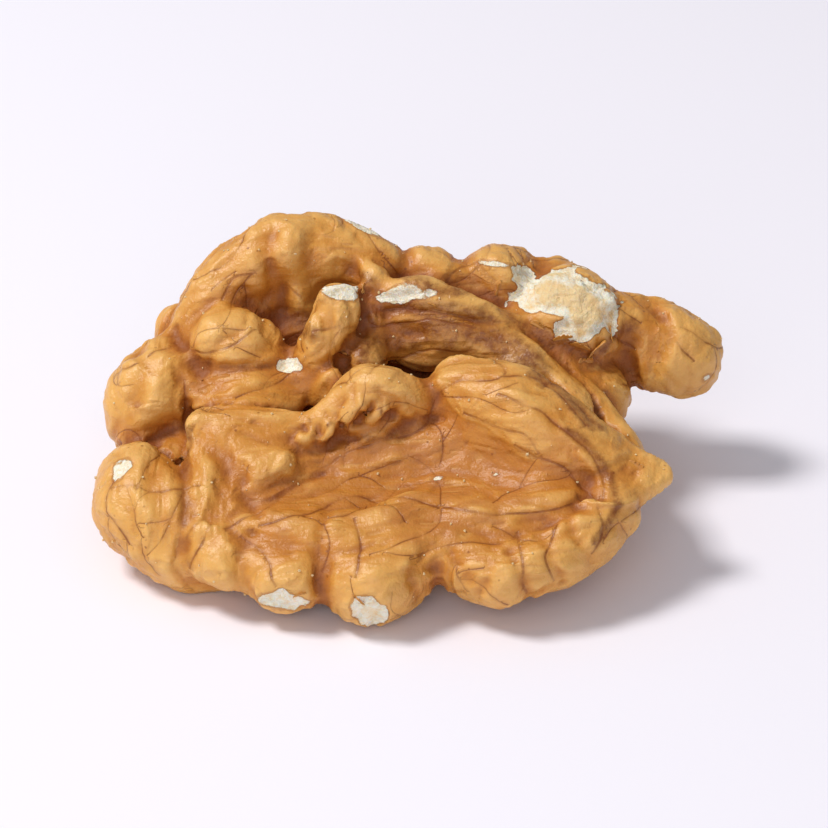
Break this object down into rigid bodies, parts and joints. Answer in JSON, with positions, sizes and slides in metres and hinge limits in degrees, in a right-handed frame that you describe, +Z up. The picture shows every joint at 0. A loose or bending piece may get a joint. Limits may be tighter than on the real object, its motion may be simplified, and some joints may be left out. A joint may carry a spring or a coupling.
{
  "type": "walnut kernel",
  "caption": "Half of a shelled walnut kernel: two folded lobes joined lengthwise, inner face turned up, lying on its outer side.",
  "frame": {"origin": "middle of the bounding box seen from above, on the surface that the kernel lies on", "axes": "+X along the kernel's length, from the left bulge to the finger of the back lobe; +Y from the front rim to the back; +Z up, away from the surface it lies on"},
  "size_m": [0.038, 0.026, 0.0165],
  "materials": {
    "kernel_skin": "thin golden-tan seed skin with a waxy half gloss, dark branching veins, brown in the creases, cream where it is chipped"
  },
  "bodies": {
    "root": {"kernel": "kernel_skin"}
  },
  "joints": []
}
